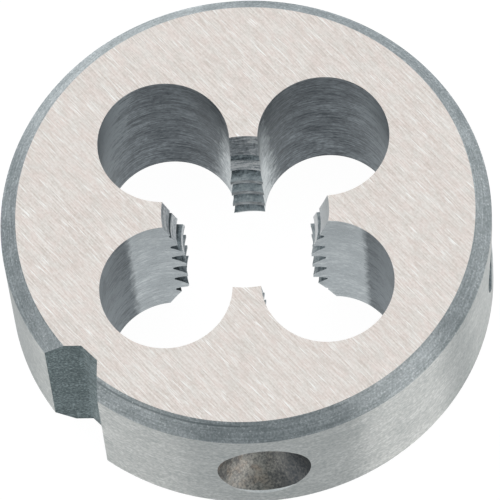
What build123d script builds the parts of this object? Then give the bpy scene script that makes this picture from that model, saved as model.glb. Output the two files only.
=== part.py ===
"""Round threading die for cutting an M8 x 1.25 external thread.

One solid of tool steel.  The origin is on the axis of the thread, in the
plane of the lower face.  +Z is up, toward the face with the long lead-in,
and the notch for the spreading screw opens toward -Y.  Sizes are in
millimetres and angles in degrees.
"""

import math
import os

from build123d import *

# Disc
outer_diameter = 25.0
thickness = 9.0
rim_bevel = 0.82  # at 45 degrees, round both faces

# Thread, right-hand
thread_diameter = 8.0
thread_pitch = 1.25
thread_angle = 60.0
crest_height = 0.18  # of the lowest crest, where it would pass the +X axis
thread_minor_diameter = thread_diameter - 1.25 * thread_pitch * math.cos(math.radians(30))
groove_root_width = thread_pitch / 8

# Lead-ins, as cones that open from the minor diameter to each face
upper_lead_diameter = 8.53
upper_lead_depth = 3.1
lower_lead_diameter = 8.75
lower_lead_depth = 2.25

# Chip holes, the first of them a little round from the notch
chip_hole_count = 4
chip_hole_diameter = 6.74
chip_hole_circle = 11.56
chip_hole_turn = 1.7  # from -Y, anticlockwise as seen from above

# Notch for the spreading screw
notch_depth = 1.5
notch_floor_width = 1.15
notch_angle = 90.0

# Dimples for the four holding screws, at mid height
dimple_diameter = 5.0
dimple_angle = 60.0
dimple_from_notch = 49.0
dimple_from_back = 45.0  # of the other two, from +Y
dimple_lip = 0.1  # width of the broken edge round each dimple
dimple_lip_angle = 120.0

outer_radius = outer_diameter / 2
major_radius = thread_diameter / 2
minor_radius = thread_minor_diameter / 2
overrun = 1.0  # how far each cutting shape runs past the surface it cuts
on_base = (Align.CENTER, Align.CENTER, Align.MIN)
on_end = (Align.MIN, Align.CENTER, Align.MIN)


def slope_of(included_angle):
    """Radius gained per unit of length on a cone or V of this included angle."""
    return math.tan(math.radians(included_angle / 2))


def upright_bar(radius):
    """Round bar on the Z axis, long enough to cut through both faces."""
    return Pos(0, 0, -overrun) * Cylinder(radius, thickness + 2 * overrun, align=on_base)


def countersink(diameter, angle):
    """Cone on the Z axis that is this wide at the height of the outer radius, point down."""
    depth = diameter / 2 / slope_of(angle)
    mouth_radius = diameter / 2 + slope_of(angle) * overrun
    return Pos(0, 0, outer_radius - depth) * Cone(0, mouth_radius, depth + overrun, align=on_base)


def disc():
    body = Cylinder(outer_radius, thickness, align=on_base)
    return chamfer(body.edges().filter_by(GeomType.CIRCLE), rim_bevel)


def lead_in(face_diameter, depth):
    """Cone on the Z axis that opens upward to a face at height 0, and runs past at both ends."""
    slope = (face_diameter / 2 - minor_radius) / depth
    low_radius = minor_radius - slope * overrun
    high_radius = face_diameter / 2 + slope * overrun
    return Pos(0, 0, -depth - overrun) * Cone(low_radius, high_radius, depth + 2 * overrun, align=on_base)


def thread_ridge():
    """Helical ridge whose shape is left as the thread grooves."""
    inner_radius = minor_radius - 0.15
    half_root = groove_root_width / 2
    half_mouth = half_root + (major_radius - inner_radius) * slope_of(thread_angle)
    start = crest_height - 2.5 * thread_pitch
    turns = math.ceil(thickness / thread_pitch) + 3
    path = Pos(0, 0, start) * Helix(thread_pitch, turns * thread_pitch, inner_radius)
    outline = Polyline(
        (inner_radius, start - half_mouth),
        (major_radius, start - half_root),
        (major_radius, start + half_root),
        (inner_radius, start + half_mouth),
        close=True,
    )
    return sweep(make_face(Plane.XZ * outline), path=path, is_frenet=True)


def land_block():
    """Block on the +X side that takes in the threaded part of one land."""
    inner = minor_radius - 0.5
    length = major_radius + 0.5 - inner
    block = Box(length, chip_hole_circle / 4, thickness + 2 * overrun, align=on_end)
    return Pos(inner, 0, -overrun) * block


def notch():
    floor = outer_radius - notch_depth
    reach = outer_radius + overrun
    half_floor = notch_floor_width / 2
    half_mouth = half_floor + (reach - floor) * slope_of(notch_angle)
    outline = Polyline(
        (-half_floor, -floor),
        (half_floor, -floor),
        (half_mouth, -reach),
        (-half_mouth, -reach),
        close=True,
    )
    return Pos(0, 0, -overrun) * extrude(make_face(outline), thickness + 2 * overrun, dir=(0, 0, 1))


def dimple():
    """Conical dimple with a broken edge, in the rim at -Y."""
    lip_diameter = dimple_diameter + 2 * dimple_lip
    cones = countersink(dimple_diameter, dimple_angle) + countersink(lip_diameter, dimple_lip_angle)
    return Pos(0, 0, thickness / 2) * Rot(90, 0, 0) * cones


die = disc() - upright_bar(minor_radius)
die -= Pos(0, 0, thickness) * lead_in(upper_lead_diameter, upper_lead_depth)
die -= Rot(180, 0, 0) * lead_in(lower_lead_diameter, lower_lead_depth)

chip_hole_step = 360 / chip_hole_count
for number in range(chip_hole_count):
    angle = -90 + chip_hole_turn + number * chip_hole_step
    die -= Rot(0, 0, angle) * Pos(chip_hole_circle / 2, 0, 0) * upright_bar(chip_hole_diameter / 2)

ridge = thread_ridge()
for number in range(chip_hole_count):
    angle = -90 + chip_hole_turn + (number + 0.5) * chip_hole_step
    die -= ridge & (Rot(0, 0, angle) * land_block())

die -= notch()
for angle in (dimple_from_notch, 180 - dimple_from_back, 180 + dimple_from_back, -dimple_from_notch):
    die -= Rot(0, 0, angle) * dimple()

os.makedirs("parts", exist_ok=True)
export_step(die, "parts/round_die.step")
print("solids", len(die.solids()), "volume", round(die.volume, 1), "faces", len(die.faces()))
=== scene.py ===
import math

import bpy
from mathutils import Matrix, Vector


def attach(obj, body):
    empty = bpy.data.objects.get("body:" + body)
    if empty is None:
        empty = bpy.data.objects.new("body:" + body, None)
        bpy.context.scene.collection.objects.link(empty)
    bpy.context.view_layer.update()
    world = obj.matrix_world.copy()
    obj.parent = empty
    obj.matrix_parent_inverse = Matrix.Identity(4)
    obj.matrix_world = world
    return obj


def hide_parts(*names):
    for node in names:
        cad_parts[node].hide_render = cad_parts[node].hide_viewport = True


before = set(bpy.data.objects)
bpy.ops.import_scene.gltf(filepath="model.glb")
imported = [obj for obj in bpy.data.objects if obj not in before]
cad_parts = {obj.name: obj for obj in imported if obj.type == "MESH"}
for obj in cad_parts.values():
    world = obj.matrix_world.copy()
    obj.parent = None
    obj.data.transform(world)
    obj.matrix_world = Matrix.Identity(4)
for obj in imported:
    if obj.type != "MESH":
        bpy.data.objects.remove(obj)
for leftover in ("Cube", "Light", "Camera"):  # what a new Blender file starts with
    if leftover in bpy.data.objects:
        bpy.data.objects.remove(bpy.data.objects[leftover], do_unlink=True)
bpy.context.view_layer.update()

scene = bpy.context.scene
metre = 0.001  # the die is modelled in millimetres and brought to metres at the end
near = 0.001  # two places closer than this, in mm, are the same
wallRise = 0.1  # a face whose normal rises less than this is a wall


# Tools for modelling

def selectOnly(piece):
    bpy.ops.object.select_all(action="DESELECT")
    piece.select_set(True)
    bpy.context.view_layer.objects.active = piece


def settle(piece):
    # leaves the object at the origin, with its place in its mesh
    selectOnly(piece)
    bpy.ops.object.transform_apply(location=True, rotation=True, scale=True)


def addBar(name, radius, low, high, sides):
    # an upright round bar between two heights
    bpy.ops.object.select_all(action="DESELECT")
    bpy.ops.mesh.primitive_cylinder_add(vertices=sides, radius=radius, depth=high - low,
                                        location=(0, 0, (low + high) / 2))
    bar = bpy.context.object
    bar.name = name
    settle(bar)
    return bar


def addTaper(name, lowRadius, highRadius, low, high, sides):
    # an upright cone, or a slice of one
    bpy.ops.object.select_all(action="DESELECT")
    bpy.ops.mesh.primitive_cone_add(vertices=sides, radius1=lowRadius, radius2=highRadius, depth=high - low,
                                    location=(0, 0, (low + high) / 2))
    taper = bpy.context.object
    taper.name = name
    settle(taper)
    return taper


def pick(piece, kind, test):
    # in edit mode, selects the edges or faces whose list of corners passes the test
    bpy.ops.object.mode_set(mode="OBJECT")
    selectOnly(piece)
    bpy.ops.object.mode_set(mode="EDIT")
    bpy.ops.mesh.select_mode(type=kind)
    bpy.ops.mesh.select_all(action="DESELECT")
    bpy.ops.object.mode_set(mode="OBJECT")
    points = piece.data.vertices
    for item in piece.data.edges if kind == "EDGE" else piece.data.polygons:
        item.select = test([points[i].co for i in item.vertices])
    bpy.ops.object.mode_set(mode="EDIT")


def turnRound(piece, angle):
    # turns a cutter round the axis of the thread
    piece.matrix_world = Matrix.Rotation(math.radians(angle), 4, "Z") @ piece.matrix_world
    settle(piece)


def copyOf(piece, name):
    twin = piece.copy()
    twin.data = piece.data.copy()
    twin.name = name
    scene.collection.objects.link(twin)
    return twin


def cutAway(body, cutter, material=None):
    # takes the cutter's shape out of the body, and leaves the cutter's material on the new walls
    if material:
        cutter.data.materials.append(material)
    selectOnly(body)
    cut = body.modifiers.new("cut", "BOOLEAN")
    cut.object = cutter
    cut.operation = "DIFFERENCE"
    cut.solver = "EXACT"
    cut.material_mode = "TRANSFER"
    bpy.ops.object.modifier_apply(modifier=cut.name)
    bpy.data.objects.remove(cutter, do_unlink=True)


# Tools for materials

class Steel:
    # a metal material and the nodes that make its pattern
    def __init__(self, name, look):
        self.look = look
        self.material = bpy.data.materials.new(name)
        self.material.use_nodes = True
        self.material.diffuse_color = (*look["colour"], 1)
        tree = self.material.node_tree
        self.nodes, self.links = tree.nodes, tree.links
        self.shader = self.nodes["Principled BSDF"]
        self.shader.inputs["Metallic"].default_value = 1.0
        self.shader.inputs["Base Color"].default_value = (*look["colour"], 1)
        self.shader.inputs["Roughness"].default_value = look["roughness"]
        self.place = self.nodes.new("ShaderNodeTexCoord").outputs["Object"]

    def join(self, source, target):
        self.links.new(source, target)

    def noise(self, size, turn=0.0, detail=2.0, roughness=0.5, distortion=0.0, shift=0.0):
        # grains this long, wide and high, in mm; another shift draws another pattern
        mapping = self.nodes.new("ShaderNodeMapping")
        mapping.vector_type = "TEXTURE"
        mapping.inputs["Rotation"].default_value = (0, 0, math.radians(turn))
        mapping.inputs["Scale"].default_value = [v * metre for v in size]
        self.join(self.place, mapping.inputs["Vector"])
        texture = self.nodes.new("ShaderNodeTexNoise")
        texture.noise_dimensions = "4D"
        texture.inputs["W"].default_value = shift
        texture.inputs["Scale"].default_value = 1.0
        texture.inputs["Detail"].default_value = detail
        texture.inputs["Roughness"].default_value = roughness
        texture.inputs["Distortion"].default_value = distortion
        self.join(mapping.outputs["Vector"], texture.inputs["Vector"])
        return texture.outputs["Fac"]

    def remap(self, value, span, levels=(0.0, 1.0)):
        # runs from the first level to the second while the value runs over the span
        node = self.nodes.new("ShaderNodeMapRange")
        for name, number in zip(("From Min", "From Max", "To Min", "To Max"), (*span, *levels)):
            node.inputs[name].default_value = number
        self.join(value, node.inputs["Value"])
        return node.outputs["Result"]

    def sums(self, operation, a, b=0.0):
        node = self.nodes.new("ShaderNodeMath")
        node.operation = operation
        for socket, value in zip(node.inputs, (a, b)):
            if isinstance(value, (int, float)):
                socket.default_value = value
            else:
                self.join(value, socket)
        return node.outputs["Value"]

    def plus(self, a, b):
        return self.sums("ADD", a, b)

    def minus(self, a, b):
        return self.sums("SUBTRACT", a, b)

    def times(self, a, b):
        return self.sums("MULTIPLY", a, b)

    def mixed(self, factor, a, b):
        # a where the factor is 0 and b where it is 1
        return self.plus(a, self.times(factor, self.minus(b, a)))

    def blendOf(self, *patterns):
        # adds up patterns, each with its weight, so that the middle stays at 0.5
        total = 0.5 - sum(weight for value, weight in patterns) / 2
        for value, weight in patterns:
            total = self.plus(self.times(value, weight), total)
        return total

    def shades(self, value, halfSpan, names=("dull", "colour", "pale")):
        # the middle colour at 0.5, and the two others half a span to either side
        node = self.nodes.new("ShaderNodeValToRGB")
        marks = node.color_ramp.elements
        marks.new(0.5)
        for mark, name, position in zip(marks, names, (0.5 - halfSpan, 0.5, 0.5 + halfSpan)):
            mark.position = position
            mark.color = (*self.look[name], 1)
        self.join(value, node.inputs["Fac"])
        return node.outputs["Color"]

    def mix(self, factor, a, b, blend="MIX"):
        node = self.nodes.new("ShaderNodeMix")
        node.data_type = "RGBA"
        node.blend_type = blend
        self.join(factor, node.inputs[0])
        for socket, value in ((node.inputs[6], a), (node.inputs[7], b)):
            if isinstance(value, tuple):
                socket.default_value = (*value, 1)
            else:
                self.join(value, socket)
        return node.outputs[2]

    def axisDistance(self):
        # distance from the axis of the thread, in mm
        flat = self.nodes.new("ShaderNodeVectorMath")
        flat.operation = "MULTIPLY"
        flat.inputs[1].default_value = (1 / metre, 1 / metre, 0)
        self.join(self.place, flat.inputs[0])
        size = self.nodes.new("ShaderNodeVectorMath")
        size.operation = "LENGTH"
        self.join(flat.outputs["Vector"], size.inputs[0])
        return size.outputs["Value"]

    def parts(self):
        # x, y and height over the lower face, in mm
        split = self.nodes.new("ShaderNodeSeparateXYZ")
        self.join(self.place, split.inputs["Vector"])
        return [self.times(split.outputs[axis], 1 / metre) for axis in "XYZ"]

    def brushRound(self):
        # grinding lines that run round the axis of the thread
        tangent = self.nodes.new("ShaderNodeTangent")
        tangent.direction_type = "RADIAL"
        tangent.axis = "Z"
        self.shader.inputs["Anisotropic"].default_value = 1.0
        self.shader.inputs["Anisotropic Rotation"].default_value = 0.25
        self.join(tangent.outputs["Tangent"], self.shader.inputs["Tangent"])

    def uneven(self, value, span):
        # the roughness of the look, a little less at one end of the span and more at the other
        middle, change = self.look["roughness"], self.look["roughnessChange"]
        return self.remap(value, span, (middle - change, middle + change))

    def finish(self, colour, roughness, relief):
        # relief is the pattern that stands out of the surface, by the look's depth in mm
        bump = self.nodes.new("ShaderNodeBump")
        bump.inputs["Strength"].default_value = self.look["reliefStrength"]
        bump.inputs["Distance"].default_value = self.look["reliefDepth"] * metre
        self.join(relief, bump.inputs["Height"])
        self.join(colour, self.shader.inputs["Base Color"])
        self.join(roughness, self.shader.inputs["Roughness"])
        self.join(bump.outputs["Normal"], self.shader.inputs["Normal"])
        return self.material


# Finishes of the steel

def brushedFace():
    look = dict(colour=(0.772, 0.702, 0.655), pale=(0.96, 0.896, 0.85), dull=(0.592, 0.527, 0.484),
                scratch=(1.0, 0.985, 0.96), pink=(0.784, 0.695, 0.652), grey=(0.752, 0.702, 0.661),
                brushAngle=-4.0, longScratches=0.7, shortScratches=0.85,
                roughness=0.42, roughnessChange=0.08, reliefDepth=0.004, reliefStrength=0.5)
    steel = Steel("brushedFace", look)
    turn = look["brushAngle"]
    streaks = steel.noise((2.2, 0.09, 2.2), turn, shift=4.1)
    fine = steel.noise((0.7, 0.055, 0.7), turn + 1.5, detail=1.0, shift=1.7)
    grain = steel.noise((0.12, 0.09, 0.1), turn, detail=1.0, shift=5.5)
    clouds = steel.noise((2.0, 0.8, 2.0), turn, shift=1.3)
    both = steel.blendOf((streaks, 0.8), (fine, 0.8), (grain, 0.65), (clouds, 0.25))
    tints = steel.noise((0.9, 0.5, 0.9), turn, roughness=0.6, shift=2.9)
    tinted = steel.mix(steel.remap(tints, (0.38, 0.62)), look["grey"], look["pink"])
    worn = steel.mix(steel.remap(both, (0.5, 0.2)), tinted, look["dull"])
    worn = steel.mix(steel.remap(both, (0.5, 0.8)), worn, look["pale"])
    longMarks = steel.noise((1.3, 0.055, 1.3), turn - 1.0, detail=0.0, shift=7.7)
    shortMarks = steel.noise((0.9, 0.06, 0.9), turn + 2.5, detail=0.0, shift=8.3)
    marks = steel.plus(steel.remap(longMarks, (0.69, 0.80), (0.0, look["longScratches"])),
                       steel.remap(shortMarks, (0.67, 0.78), (0.0, look["shortScratches"])))
    colour = steel.mix(marks, worn, look["scratch"])
    return steel.finish(colour, steel.uneven(both, (0.2, 0.8)), both)


def turnedBevel():
    look = dict(colour=(0.505, 0.545, 0.565), pale=(0.80, 0.84, 0.86), dull=(0.295, 0.335, 0.35),
                speck=(0.95, 0.97, 0.98), specks=0.65, midHeight=4.5, ringAt=4.33, ringWidth=0.045, ringTone=0.55,
                roughness=0.54, roughnessChange=0.06, reliefDepth=0.006, reliefStrength=0.5)
    steel = Steel("turnedBevel", look)
    grain = steel.noise((0.11, 0.11, 0.10), roughness=0.6, shift=2.2)
    cutLines = steel.noise((2.5, 2.5, 0.06), roughness=0.6, shift=6.2)
    patches = steel.noise((1.0, 1.0, 0.6), shift=3.1)
    both = steel.blendOf((grain, 1.1), (cutLines, 0.7), (patches, 0.35))
    # painted shade: a thin dark line next to both faces, this far from mid height, on one side of the notch
    x, y, z = steel.parts()
    fromMiddle = steel.sums("ABSOLUTE", steel.minus(z, look["midHeight"]))
    paintedShadeLine = steel.sums("ABSOLUTE", steel.minus(fromMiddle, look["ringAt"]))
    paintedShadeLine = steel.remap(paintedShadeLine, (look["ringWidth"], 0.0), (0.0, look["ringTone"]))
    paintedShadeLine = steel.times(paintedShadeLine, steel.remap(y, (-7.0, -9.5)))
    paintedShadeLine = steel.times(paintedShadeLine, steel.remap(x, (-1.5, 0.5)))
    both = steel.minus(both, paintedShadeLine)
    specks = steel.noise((0.10, 0.10, 0.10), detail=0.0, shift=9.0)
    specks = steel.remap(specks, (0.70, 0.78), (0.0, look["specks"]))
    colour = steel.mix(specks, steel.shades(both, 0.3), look["speck"])
    steel.brushRound()
    return steel.finish(colour, steel.uneven(grain, (0.3, 0.7)), both)


def groundRim():
    look = dict(colour=(0.545, 0.55, 0.54), pale=(0.74, 0.742, 0.73), dull=(0.385, 0.408, 0.405),
                roughness=0.38, roughnessChange=0.04, reliefDepth=0.006, reliefStrength=0.5)
    steel = Steel("groundRim", look)
    lines = steel.noise((2.2, 2.2, 0.08), detail=3.0, roughness=0.6, shift=5.0)
    grain = steel.noise((0.17, 0.17, 0.13), roughness=0.55, shift=5.7)
    broad = steel.noise((3.0, 3.0, 2.0), shift=6.0)
    both = steel.blendOf((lines, 0.7), (grain, 1.2), (broad, 0.4))
    steel.brushRound()
    return steel.finish(steel.shades(both, 0.3), steel.uneven(both, (0.2, 0.8)), both)


def brokenEdge():
    look = dict(colour=(0.58, 0.60, 0.60), pale=(0.72, 0.74, 0.74), dull=(0.40, 0.42, 0.43),
                roughness=0.35, roughnessChange=0.05, reliefDepth=0.003, reliefStrength=0.4)
    steel = Steel("brokenEdge", look)
    grain = steel.noise((0.15, 0.15, 0.15), roughness=0.6, shift=3.0)
    return steel.finish(steel.shades(grain, 0.3), steel.uneven(grain, (0.3, 0.7)), grain)


def drilledWall():
    look = dict(colour=(0.151, 0.168, 0.183), pale=(0.325, 0.353, 0.375), dull=(0.045, 0.054, 0.064),
                ground=(0.493, 0.521, 0.538), groundPale=(0.874, 0.896, 0.896), groundDull=(0.302, 0.325, 0.336),
                pairTones=(0.64, 0.44), sideTones=(0.5, 0.76), paintedUpperSheen=1.6, nearAxis=0.34, besideGround=0.18,
                groundReach=6.2, groundGrain=(0.6, 1.0), groundFray=(0.8, 2.2), crispEdge=(0.12, -0.22),
                blurredEdge=(0.35, -0.65), leanLeft=(0.55, -0.85), leanRight=(0.10, -0.85),
                roughness=0.42, groundRoughness=0.30, roughnessChange=0.06, reliefDepth=0.010, reliefStrength=0.5)
    steel = Steel("drilledWall", look)
    lines = steel.noise((1.7, 1.7, 0.09), detail=3.0, roughness=0.6, distortion=0.25, shift=1.0)
    blots = steel.noise((0.25, 0.25, 0.14), roughness=0.6, distortion=0.4, shift=2.4)
    broad = steel.noise((1.8, 1.8, 1.1), shift=2.0)
    x, y, z = steel.parts()
    across = steel.plus(x, y)
    coarse = steel.sums("GREATER_THAN", steel.minus(y, x))  # 1 in the holes at +Y and -X, 0 in the two others

    # the drilled part: darker in the coarse pair and paler toward the axis; a painted sheen makes it paler at the
    # two ends along x + y, more so higher up in the coarse pair
    pairTone = steel.remap(coarse, (0.0, 1.0), look["pairTones"])
    paintedSideSheen = steel.remap(steel.sums("ABSOLUTE", across), (7.5, 10.5), look["sideTones"])
    # painted sheen, growing toward the top of the side walls
    paintedUpperSheen = steel.times(steel.minus(paintedSideSheen, 0.5), steel.remap(z, (2.0, 9.0), (0.0, look["paintedUpperSheen"])))
    paintedUpperSheen = steel.times(paintedUpperSheen, coarse)
    inner = steel.times(steel.remap(steel.axisDistance(), (7.0, 4.6), (0.0, look["nearAxis"])), coarse)
    both = steel.blendOf((lines, 1.7), (blots, 1.3), (broad, 0.9), (pairTone, 1.0), (paintedSideSheen, 1.0))
    both = steel.plus(both, steel.plus(paintedUpperSheen, inner))
    drilled = steel.shades(both, 0.4)

    # the ground part beside each land: smooth and upright, but leaning and frayed in the coarse pair
    soft = steel.plus(steel.blendOf((lines, 1.0), (blots, 1.1), (broad, 0.9)), inner)
    contrast = steel.remap(coarse, (0.0, 1.0), look["groundGrain"])
    soft = steel.plus(steel.times(steel.minus(soft, 0.5), contrast), 0.5)
    bright = steel.shades(soft, 0.35, ("groundDull", "ground", "groundPale"))
    leanLeft = steel.remap(z, (0.0, 9.0), look["leanLeft"])
    leanRight = steel.remap(z, (0.0, 9.0), look["leanRight"])
    lean = steel.mixed(steel.sums("LESS_THAN", across), leanRight, leanLeft)
    fray = steel.noise((0.35, 0.35, 0.35), detail=3.0, roughness=0.65, shift=8.0)
    fray = steel.times(steel.minus(fray, 0.5), steel.remap(coarse, (0.0, 1.0), look["groundFray"]))
    reach = steel.minus(steel.plus(steel.axisDistance(), fray), steel.times(lean, coarse))
    edge = look["groundReach"]
    crisp, blurred = (steel.remap(reach, [edge + v for v in look[name]]) for name in ("crispEdge", "blurredEdge"))
    ground = steel.mixed(coarse, crisp, blurred)
    colour = steel.mix(ground, drilled, bright)

    # outside the coarse pair the drilled part is darkest next to the ground part
    shadeBand = steel.remap(reach, (edge + 1.6, edge + 0.3), (0.0, look["besideGround"]))
    shadeBand = steel.times(shadeBand, steel.minus(1.0, coarse))
    shadeBand = steel.times(shadeBand, steel.minus(1.0, ground))
    colour = steel.mix(shadeBand, colour, look["dull"])
    change = look["roughnessChange"]
    roughness = steel.remap(ground, (0.0, 1.0), (look["roughness"], look["groundRoughness"]))
    roughness = steel.plus(roughness, steel.remap(both, (0.2, 0.8), (-change, change)))
    return steel.finish(colour, roughness, both)


def threadSteel():
    look = dict(colour=(0.539, 0.589, 0.621), pale=(0.957, 0.990, 1.0), dull=(0.132, 0.152, 0.165),
                landTones=(0.42, 0.75), depthTones=(0.66, 0.20),
                roughness=0.39, roughnessChange=0.07, reliefDepth=0.006, reliefStrength=0.5)
    steel = Steel("threadSteel", look)
    lines = steel.noise((1.0, 1.0, 0.09), detail=3.0, roughness=0.6, shift=1.0)
    grain = steel.noise((0.14, 0.14, 0.12), roughness=0.6, shift=1.6)
    broad = steel.noise((0.4, 0.4, 0.3), shift=2.0)
    x, y = steel.parts()[:2]
    land = steel.remap(steel.plus(x, y), (-4.0, 4.0), look["landTones"])  # paler toward +X+Y and darker toward -X-Y
    depth = steel.remap(steel.axisDistance(), (3.32, 3.75), look["depthTones"])  # painted shade: the roots are the darkest
    both = steel.blendOf((lines, 1.1), (grain, 0.9), (broad, 0.5), (land, 1.0), (depth, 1.0))
    return steel.finish(steel.shades(both, 0.35), steel.uneven(both, (0.2, 0.8)), both)


def crestSteel():
    look = dict(colour=(0.242, 0.255, 0.264), pale=(0.462, 0.484, 0.495), dull=(0.094, 0.099, 0.105),
                roughness=0.38, roughnessChange=0.06, reliefDepth=0.004, reliefStrength=0.5)
    steel = Steel("crestSteel", look)
    grain = steel.noise((0.3, 0.3, 0.10), detail=3.0, roughness=0.6, shift=3.0)
    both = steel.blendOf((grain, 2.0))
    return steel.finish(steel.shades(both, 0.3), steel.uneven(both, (0.2, 0.8)), both)


def leadSteel():
    look = dict(colour=(0.526, 0.554, 0.582), pale=(1.0, 1.0, 1.0), dull=(0.190, 0.207, 0.224),
                landTones=(0.55, 1.02), innerTone=0.09,
                roughness=0.35, roughnessChange=0.07, reliefDepth=0.008, reliefStrength=0.5)
    steel = Steel("leadSteel", look)
    upright = steel.noise((0.15, 0.15, 2.5), detail=3.0, roughness=0.6, shift=1.0)
    turned = steel.noise((1.1, 1.1, 0.09), detail=3.0, roughness=0.65, shift=4.0)
    grain = steel.noise((0.13, 0.13, 0.12), roughness=0.6, shift=6.1)
    broad = steel.noise((0.6, 0.6, 0.5), shift=2.6)
    x, y, z = steel.parts()
    land = steel.remap(steel.plus(x, y), (0.8, 4.0), look["landTones"])  # painted reflection: paler toward +X+Y
    tone = steel.plus(land, steel.remap(z, (7.9, 7.2), (0.0, look["innerTone"])))
    both = steel.blendOf((upright, 0.4), (turned, 2.0), (grain, 0.9), (broad, 0.6), (tone, 1.0))
    return steel.finish(steel.shades(both, 0.35), steel.uneven(both, (0.2, 0.8)), both)


def notchSteel():
    look = dict(colour=(0.125, 0.162, 0.168), pale=(0.336, 0.392, 0.403), dull=(0.043, 0.062, 0.065),
                wallTones=(0.5, 0.62), roughness=0.51, roughnessChange=0.09, reliefDepth=0.012, reliefStrength=0.6)
    steel = Steel("notchSteel", look)
    grain = steel.noise((0.13, 0.13, 0.12), detail=3.0, roughness=0.65, shift=1.0)
    bands = steel.noise((2.5, 2.5, 0.45), distortion=0.6, shift=2.0)
    x = steel.parts()[0]
    wall = steel.remap(x, (-0.75, -0.5), look["wallTones"])  # the wall at -X, then the floor and the wall at +X
    both = steel.blendOf((grain, 1.9), (bands, 0.4), (wall, 1.0))
    return steel.finish(steel.shades(both, 0.35), steel.uneven(grain, (0.3, 0.7)), both)


def dimpleSteel():
    look = dict(colour=(0.159, 0.161, 0.159), pale=(0.445, 0.429, 0.392), dull=(0.053, 0.059, 0.066),
                nearTones=(0.51, 0.67), darkest=-0.46, farTone=0.3, heightTones=(0.06, -0.06),
                brown=(1.0, 0.87, 0.79), blue=(0.82, 0.98, 1.10), brownPatches=0.8,
                roughness=0.50, roughnessChange=0.08, reliefDepth=0.008, reliefStrength=0.5)
    steel = Steel("dimpleSteel", look)
    grain = steel.noise((0.13, 0.13, 0.14), detail=3.0, roughness=0.65, shift=1.0)
    patches = steel.noise((0.8, 0.8, 0.8), shift=2.0)
    x, y, z = steel.parts()
    across = steel.plus(x, y)
    # painted shade along x + y: darkest at the far side of the two nearest to x + y = 0, paler where x + y is
    # large, and darker higher up
    paintedShade = steel.remap(across, (-1.0, 0.9), look["nearTones"])
    paintedShade = steel.plus(paintedShade, steel.remap(across, (1.0, 3.2), (0.0, look["darkest"])))
    paintedShade = steel.plus(paintedShade, steel.remap(across, (6.0, 14.0), (0.0, look["farTone"])))
    paintedShade = steel.plus(paintedShade, steel.remap(z, (3.2, 6.2), look["heightTones"]))
    both = steel.blendOf((grain, 1.3), (patches, 0.4), (paintedShade, 1.0))
    # brown patches where x + y is below 2, full below 0.5
    brownPatches = steel.noise((0.6, 0.6, 0.5), roughness=0.6, shift=4.4)
    brownPatches = steel.remap(brownPatches, (0.48, 0.64), (0.0, look["brownPatches"]))
    brownPatches = steel.times(brownPatches, steel.remap(across, (2.0, 0.5)))
    colour = steel.mix(brownPatches, steel.shades(both, 0.35), look["brown"], "MULTIPLY")
    colour = steel.mix(steel.remap(across, (6.0, 14.0)), colour, look["blue"], "MULTIPLY")
    return steel.finish(colour, steel.uneven(grain, (0.3, 0.7)), both)


# The die

print("Modelling the die body")
body = dict(diameter=25.0, thickness=9.0, bevel=0.82, sides=360, overrun=1.0, weld=0.0005, smoothAngle=28.0)

faceFinish, bevelFinish, rimFinish = brushedFace(), turnedBevel(), groundRim()
holeFinish, threadFinish, crestFinish, leadFinish = drilledWall(), threadSteel(), crestSteel(), leadSteel()
notchFinish, dimpleFinish, lipFinish = notchSteel(), dimpleSteel(), brokenEdge()

outerRadius = body["diameter"] / 2
top = body["thickness"]
below, above = -body["overrun"], top + body["overrun"]

die = addBar("dieBody", outerRadius, 0, top, body["sides"])
pick(die, "EDGE", lambda ends: abs(ends[0].z - ends[1].z) < near)  # the two rims, not the uprights
bpy.ops.mesh.bevel(offset=body["bevel"], offset_type="OFFSET", segments=1, affect="EDGES")
bpy.ops.object.mode_set(mode="OBJECT")
for finish in (faceFinish, bevelFinish, rimFinish):
    die.data.materials.append(finish)
for face in die.data.polygons:
    rise = abs(face.normal.z)
    face.material_index = 2 if rise < wallRise else (0 if rise > 1 - wallRise else 1)

print("Boring the thread hole and its lead-ins")
thread = dict(diameter=8.0, pitch=1.25, angle=60.0, crestHeight=0.18, insideBore=0.15,
              leadTop=8.53, leadTopDepth=3.1, leadBottom=8.75, leadBottomDepth=2.25,
              turnsBelow=2.5, extraTurns=3, sides=192, stepsPerTurn=96, weld=0.0001)
majorRadius = thread["diameter"] / 2
minorRadius = majorRadius - 0.625 * thread["pitch"] * math.cos(math.radians(30))  # as in a standard nut


def flareEnd(piece, fromHeight, toHeight, fromRadius, toRadius):
    # draws one end of an upright bar out into a cone
    pick(piece, "FACE", lambda corners: all(abs(p.z - fromHeight) < near for p in corners))
    bpy.ops.mesh.extrude_region_move(TRANSFORM_OT_translate={"value": (0, 0, toHeight - fromHeight)})
    grow = toRadius / fromRadius
    bpy.ops.transform.resize(value=(grow, grow, 1), center_override=(0, 0, toHeight))
    bpy.ops.object.mode_set(mode="OBJECT")


def addBoreCutter():
    # the bore with both its lead-ins, run on past the faces
    lowEnd, highEnd = thread["leadBottomDepth"], top - thread["leadTopDepth"]
    bore = addBar("boreCutter", minorRadius, lowEnd, highEnd, thread["sides"])
    for name, fromHeight, toHeight in (("leadTop", highEnd, above), ("leadBottom", lowEnd, below)):
        faceRadius = thread[name] / 2
        slope = (faceRadius - minorRadius) / thread[name + "Depth"]
        flareEnd(bore, fromHeight, toHeight, minorRadius, faceRadius + slope * body["overrun"])
    for finish in (crestFinish, leadFinish):  # the bore between the grooves is the crests of the thread
        bore.data.materials.append(finish)
    for face in bore.data.polygons:
        face.material_index = 0 if abs(face.normal.z) < wallRise else 1
    return bore


cutAway(die, addBoreCutter())

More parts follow.
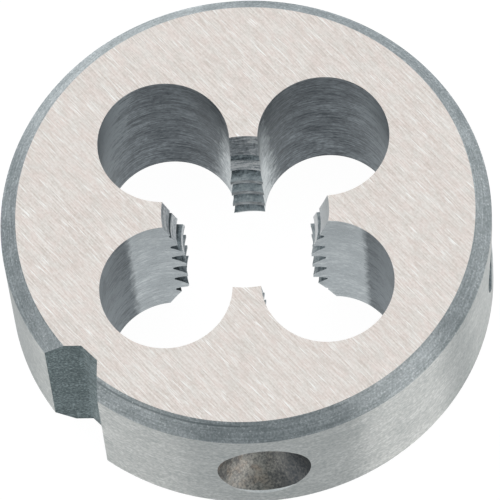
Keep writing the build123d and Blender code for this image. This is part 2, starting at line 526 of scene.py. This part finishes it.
print("Drilling the chip holes")
chipHoles = dict(count=4, diameter=6.74, circle=11.56, turn=1.7, sides=160)
drill = addBar("drill", chipHoles["diameter"] / 2, below, above, chipHoles["sides"])
drill.location.x = chipHoles["circle"] / 2
settle(drill)
for number in range(chipHoles["count"]):
    cutter = copyOf(drill, "chipHole")
    turnRound(cutter, -90 + chipHoles["turn"] + number * 360 / chipHoles["count"])
    cutAway(die, cutter, holeFinish)
bpy.data.objects.remove(drill, do_unlink=True)

print("Cutting the notch for the spreading screw")
notch = dict(depth=1.5, floorWidth=1.15, angle=90.0)
floorReach = outerRadius - notch["depth"]
mouthReach = outerRadius + body["overrun"]
halfFloor = notch["floorWidth"] / 2
halfMouth = halfFloor + (mouthReach - floorReach) * math.tan(math.radians(notch["angle"] / 2))
bpy.ops.object.select_all(action="DESELECT")
bpy.ops.mesh.primitive_cube_add(size=1, location=(0, -(floorReach + mouthReach) / 2, top / 2),
                                scale=(notch["floorWidth"], mouthReach - floorReach, above - below))
wedge = bpy.context.object
wedge.name = "notchCutter"
settle(wedge)
pick(wedge, "FACE", lambda corners: all(p.y < -outerRadius for p in corners))
bpy.ops.transform.resize(value=(halfMouth / halfFloor, 1, 1), center_override=(0, -mouthReach, top / 2))
bpy.ops.object.mode_set(mode="OBJECT")
cutAway(die, wedge, notchFinish)

print("Cutting the thread")


def addThreadRidge():
    # a V ridge wound up the bore; what it takes out is left as the thread grooves
    pitch = thread["pitch"]
    inner = minorRadius - thread["insideBore"]
    halfRoot = pitch / 16  # the groove's flat root is an eighth of the pitch wide
    halfMouth = halfRoot + (majorRadius - inner) * math.tan(math.radians(thread["angle"] / 2))
    start = thread["crestHeight"] - thread["turnsBelow"] * pitch
    turns = math.ceil(top / pitch) + thread["extraTurns"]
    bpy.ops.object.select_all(action="DESELECT")
    bpy.ops.mesh.primitive_plane_add(size=1, location=((inner + majorRadius) / 2, 0, start),
                                     rotation=(math.radians(90), 0, 0))
    ridge = bpy.context.object
    ridge.name = "threadRidge"
    ridge.scale = (majorRadius - inner, 2 * halfRoot, 1)
    settle(ridge)
    pick(ridge, "EDGE", lambda ends: all(p.x < inner + near for p in ends))
    bpy.ops.transform.resize(value=(1, 1, halfMouth / halfRoot), center_override=(inner, 0, start))
    bpy.ops.object.mode_set(mode="OBJECT")
    wind = ridge.modifiers.new("wind", "SCREW")
    wind.axis = "Z"
    wind.angle = math.radians(360)
    wind.screw_offset = pitch
    wind.iterations = turns
    wind.steps = wind.render_steps = thread["stepsPerTurn"]
    wind.use_merge_vertices = False
    bpy.ops.object.modifier_apply(modifier=wind.name)
    closeEnds(ridge)
    return ridge


def closeEnds(ridge):
    # merges the turns and puts a face on the two open ends
    selectOnly(ridge)
    bpy.ops.object.mode_set(mode="EDIT")
    bpy.ops.mesh.select_all(action="SELECT")
    bpy.ops.mesh.remove_doubles(threshold=thread["weld"])
    bpy.ops.mesh.select_all(action="DESELECT")
    bpy.ops.mesh.select_mode(type="EDGE")
    bpy.ops.mesh.select_non_manifold()
    bpy.ops.mesh.edge_face_add()
    bpy.ops.mesh.select_all(action="SELECT")
    bpy.ops.mesh.normals_make_consistent(inside=False)
    bpy.ops.object.mode_set(mode="OBJECT")


cutAway(die, addThreadRidge(), threadFinish)

print("Sinking the dimples for the holding screws")
dimples = dict(diameter=5.0, angle=60.0, fromNotch=49.0, fromBack=45.0, lip=0.1, lipAngle=120.0, sides=144)


def addDimpleCutter():
    # a cone with a wider one at its mouth, laid down to point in from the rim at -Y
    slope, lipSlope = (math.tan(math.radians(dimples[name] / 2)) for name in ("angle", "lipAngle"))
    radius, lipRadius = dimples["diameter"] / 2, dimples["diameter"] / 2 + dimples["lip"]
    tip = outerRadius - radius / slope
    lipTip = outerRadius - lipRadius / lipSlope
    bend = (lipSlope * lipTip - slope * tip) / (lipSlope - slope)  # where the two cones meet
    bendRadius = slope * (bend - tip)
    reach = outerRadius + body["overrun"]
    cone = addTaper("dimpleCutter", 0, bendRadius, tip, bend, dimples["sides"])
    flareEnd(cone, bend, reach, bendRadius, lipSlope * (reach - lipTip))
    for finish in (dimpleFinish, lipFinish):
        cone.data.materials.append(finish)
    for face in cone.data.polygons:
        face.material_index = 1 if face.center.z > bend + near else 0
    cone.matrix_world = Matrix.Translation((0, 0, top / 2)) @ Matrix.Rotation(math.radians(90), 4, "X")
    settle(cone)
    return cone


cone = addDimpleCutter()
fromNotch, fromBack = dimples["fromNotch"], dimples["fromBack"]
for angle in (fromNotch, 180 - fromBack, 180 + fromBack, -fromNotch):
    cutter = copyOf(cone, "dimple")
    turnRound(cutter, angle)
    cutAway(die, cutter)
bpy.data.objects.remove(cone, do_unlink=True)

print("Finishing the mesh")
selectOnly(die)
bpy.ops.object.mode_set(mode="EDIT")
bpy.ops.mesh.select_all(action="SELECT")
bpy.ops.mesh.remove_doubles(threshold=body["weld"])
bpy.ops.object.mode_set(mode="OBJECT")
die.scale = (metre, metre, metre)
settle(die)
bpy.ops.object.shade_smooth_by_angle(angle=math.radians(body["smoothAngle"]))
print("The die has", len(die.data.polygons), "faces and", len(die.data.materials), "finishes")

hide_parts("round_die")
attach(die, "root")

# Floor, light and camera, in metres

print("Setting the floor, lights and camera")
stage = dict(floorSize=1.2, floorGap=0.00002, floorShade=0.9, seenGlow=0.975, seenShade=0.10,
             mirroredGlow=0.70, mirroredShade=0.30, mirroredTint=(0.965, 1.0, 1.01),
             worldColour=(0.90, 1.0, 1.03), worldLight=0.30)
bpy.ops.object.select_all(action="DESELECT")
bpy.ops.mesh.primitive_plane_add(size=stage["floorSize"], location=(0, 0, -stage["floorGap"]))
floor = bpy.context.object
floor.name = "floor"


def paleFloor():
    # a plain pale floor for the lamps; for the camera and in the steel it also glows, and its shadow is kept
    material = bpy.data.materials.new("paleFloor")
    material.use_nodes = True
    nodes, links = material.node_tree.nodes, material.node_tree.links
    nodes.clear()
    rays = nodes.new("ShaderNodeLightPath")

    def diffuse(shade):
        node = nodes.new("ShaderNodeBsdfDiffuse")
        node.inputs["Color"].default_value = (shade, shade, shade, 1)
        return node.outputs["BSDF"]

    def glowing(strength, shade, tint=(1, 1, 1)):
        light = nodes.new("ShaderNodeEmission")
        light.inputs["Color"].default_value = (*tint, 1)
        light.inputs["Strength"].default_value = strength
        both = nodes.new("ShaderNodeAddShader")
        links.new(light.outputs["Emission"], both.inputs[0])
        links.new(diffuse(shade), both.inputs[1])
        return both.outputs["Shader"]

    def choose(rayKind, base, other):
        node = nodes.new("ShaderNodeMixShader")
        links.new(rays.outputs[rayKind], node.inputs[0])
        links.new(base, node.inputs[1])
        links.new(other, node.inputs[2])
        return node.outputs["Shader"]

    look = diffuse(stage["floorShade"])
    mirrored = glowing(stage["mirroredGlow"], stage["mirroredShade"], stage["mirroredTint"])
    look = choose("Is Glossy Ray", look, mirrored)
    for rayKind in ("Is Transmission Ray", "Is Camera Ray"):
        look = choose(rayKind, look, glowing(stage["seenGlow"], stage["seenShade"]))
    links.new(look, nodes.new("ShaderNodeOutputMaterial").inputs["Surface"])
    return material


floor.data.materials.append(paleFloor())

world = bpy.data.worlds.new("studio")
scene.world = world
world.use_nodes = True
air = world.node_tree.nodes["Background"]
air.inputs["Color"].default_value = (*stage["worldColour"], 1)
air.inputs["Strength"].default_value = stage["worldLight"]

view = dict(azimuth=50.975, elevation=64.348, roll=-6.17, distance=0.30993, lens=441.5, sensor=36.0,
            aim=(0.001730, -0.001348, 0.009), clip=(0.01, 10.0))
turnTo = Matrix.Rotation(math.radians(view["azimuth"]), 4, "Z")
tilt = Matrix.Rotation(math.radians(90 - view["elevation"]), 4, "X")
spin = Matrix.Rotation(math.radians(view["roll"]), 4, "Z")
aim = Vector(view["aim"])

white, warm = (1.0, 1.0, 1.0), (1.0, 0.965, 0.93)
lampDistance = 0.6
softboxes = dict(main=dict(azimuth=180, elevation=66, size=(0.62, 0.62), brightness=0.88, tint=white),
                 rightFront=dict(azimuth=49, elevation=7, size=(0.36, 0.14), brightness=5.9, tint=warm),
                 right=dict(azimuth=105, elevation=7, size=(0.60, 0.14), brightness=2.3, tint=warm),
                 left=dict(azimuth=-59, elevation=7, size=(0.68, 0.14), brightness=3.2, tint=warm),
                 backLeft=dict(azimuth=-160, elevation=7, size=(0.40, 0.14), brightness=3.6, tint=warm))


def addSoftbox(name, azimuth, elevation, size, brightness, tint):
    # azimuth is counted from the camera's side, anticlockwise; brightness 1 looks white
    bpy.ops.object.select_all(action="DESELECT")
    bpy.ops.object.light_add(type="AREA")
    lamp = bpy.context.object
    lamp.name = name
    lamp.data.shape = "RECTANGLE"
    lamp.data.size, lamp.data.size_y = size
    lamp.data.color = tint
    lamp.data.energy = brightness * math.pi * size[0] * size[1]
    heading = math.radians(view["azimuth"] - 90 + azimuth)
    lift = math.radians(elevation)
    away = Vector((math.cos(heading) * math.cos(lift), math.sin(heading) * math.cos(lift), math.sin(lift)))
    lamp.location = aim + away * lampDistance
    lamp.rotation_euler = away.to_track_quat("Z", "Y").to_euler()


for name, values in softboxes.items():
    addSoftbox(name + "Softbox", **values)

bpy.ops.object.camera_add()
camera = bpy.context.object
camera.name = "camera"
camera.data.sensor_width = view["sensor"]
camera.data.lens = view["lens"]
camera.data.clip_start, camera.data.clip_end = view["clip"]
camera.matrix_world = turnTo @ tilt @ spin
camera.location = aim + turnTo @ tilt @ Vector((0, 0, view["distance"]))
scene.camera = camera
scene.view_settings.view_transform = "Standard"
